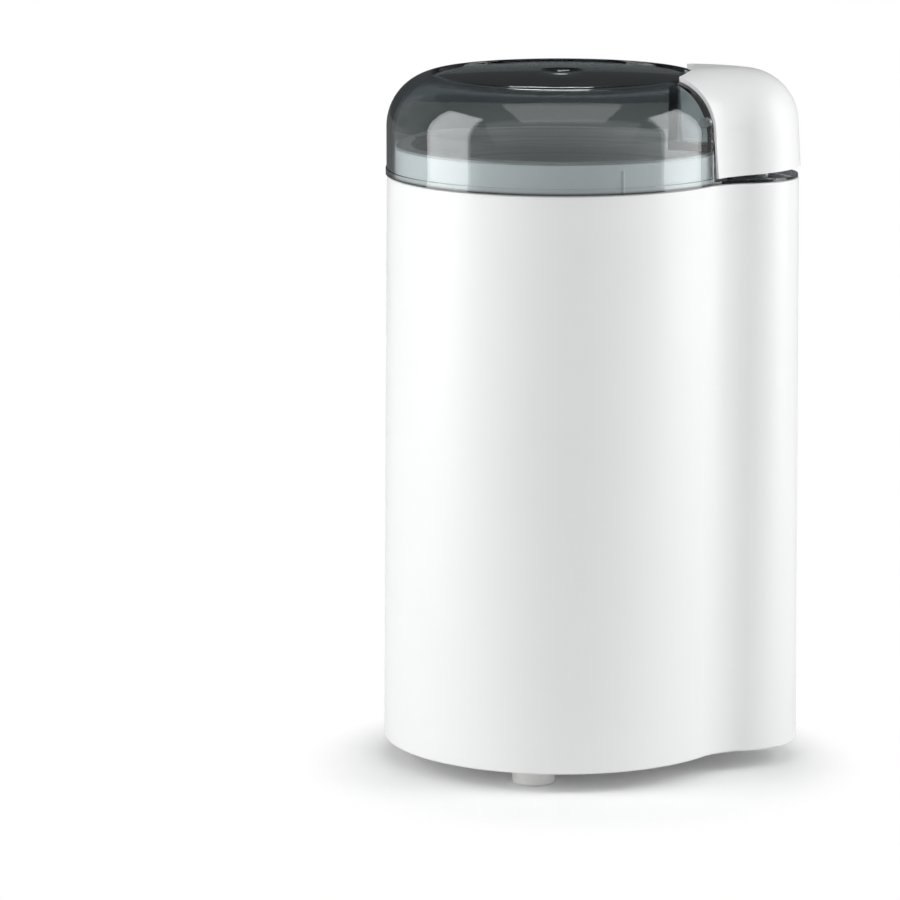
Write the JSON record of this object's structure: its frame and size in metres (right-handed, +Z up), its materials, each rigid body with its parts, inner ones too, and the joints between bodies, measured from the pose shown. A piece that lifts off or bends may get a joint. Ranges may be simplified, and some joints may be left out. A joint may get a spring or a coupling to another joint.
{
  "type": "electric coffee grinder",
  "caption": "Upright blade coffee grinder with a teardrop body, a clear smoke lid that lifts off, a press lever over the nose and a motor-driven blade in a steel bowl.",
  "frame": {"origin": "centre of the bounding box in plan, on the table under the feet", "axes": "+X toward the nose with the press lever, +Y away from the picture's viewer, +Z up along the motor shaft"},
  "size_m": [0.1162, 0.0988, 0.1949],
  "materials": {
    "white_plastic": "glossy white moulded plastic",
    "smoke_plastic": "clear smoke-grey polycarbonate",
    "foot_rubber": "soft pale rubber",
    "dark_rubber": "soft black rubber",
    "bowl_steel": "drawn stainless steel",
    "blade_steel": "ground stainless steel",
    "screw_steel": "zinc-plated steel",
    "core_steel": "stacked electrical steel",
    "black_plastic": "glass-filled black nylon",
    "copper": "enamelled copper wire",
    "brass": "plain brass",
    "bronze": "sintered bronze",
    "carbon": "pressed carbon",
    "spring_steel": "spring wire"
  },
  "bodies": {
    "base": {"housing": "white_plastic", "base_plate": "white_plastic", "base_screws": "screw_steel", "feet": "foot_rubber", "cord_gland": "dark_rubber", "grinding_bowl": "bowl_steel", "bowl_seal": "dark_rubber", "shaft_seal": "dark_rubber", "motor_carrier": "black_plastic", "upper_bush": "bronze", "carrier_screws": "screw_steel", "stator_core": "core_steel", "field_coils": "copper", "motor_bolts": "screw_steel", "lower_bracket": "black_plastic", "lower_bush": "bronze", "brush_holders": "brass", "carbon_brushes": "carbon", "brush_springs": "spring_steel", "plunger_spring": "spring_steel", "switch_body": "black_plastic", "switch_terminals": "brass", "switch_screws": "screw_steel"},
    "rotor": {"motor_shaft": "blade_steel", "armature_core": "core_steel", "armature_winding": "copper", "commutator": "copper", "thrust_washers": "black_plastic", "blade": "blade_steel", "blade_nut": "black_plastic"},
    "plunger": {"switch_plunger": "white_plastic", "switch_button": "black_plastic"},
    "lid": {"lid_cover": "smoke_plastic", "hinge_pin": "screw_steel", "lever_spring": "spring_steel"},
    "lever": {"lever": "white_plastic"}
  },
  "joints": [
    {"name": "lid_lift", "type": "slide", "parent": "base", "child": "lid", "axis": [0, 0, 1], "range_m": [0, 0.06]},
    {"name": "lever_press", "type": "hinge", "parent": "lid", "child": "lever", "pos_m": [0.03117, 0, 0.18146], "axis": [0, 1, 0], "range_deg": [0, 3.6], "stiffness_Nm_per_rad": 0.4, "springref_deg": -8.59, "deforming": ["lever_spring"]},
    {"name": "plunger_press", "type": "slide", "parent": "base", "child": "plunger", "axis": [0, 0, -1], "range_m": [0, 0.00096], "stiffness_N_per_m": 0.3, "springref_m": -0.008, "deforming": ["plunger_spring"]},
    {"name": "blade_spin", "type": "hinge", "parent": "base", "child": "rotor", "pos_m": [-0.00875, 0, 0.1368], "axis": [0, 0, 1], "continuous": true}
  ],
  "couplings": [
    {"joint": "plunger_press", "follows": "lever_press", "m_per_rad": 0.014592}
  ]
}
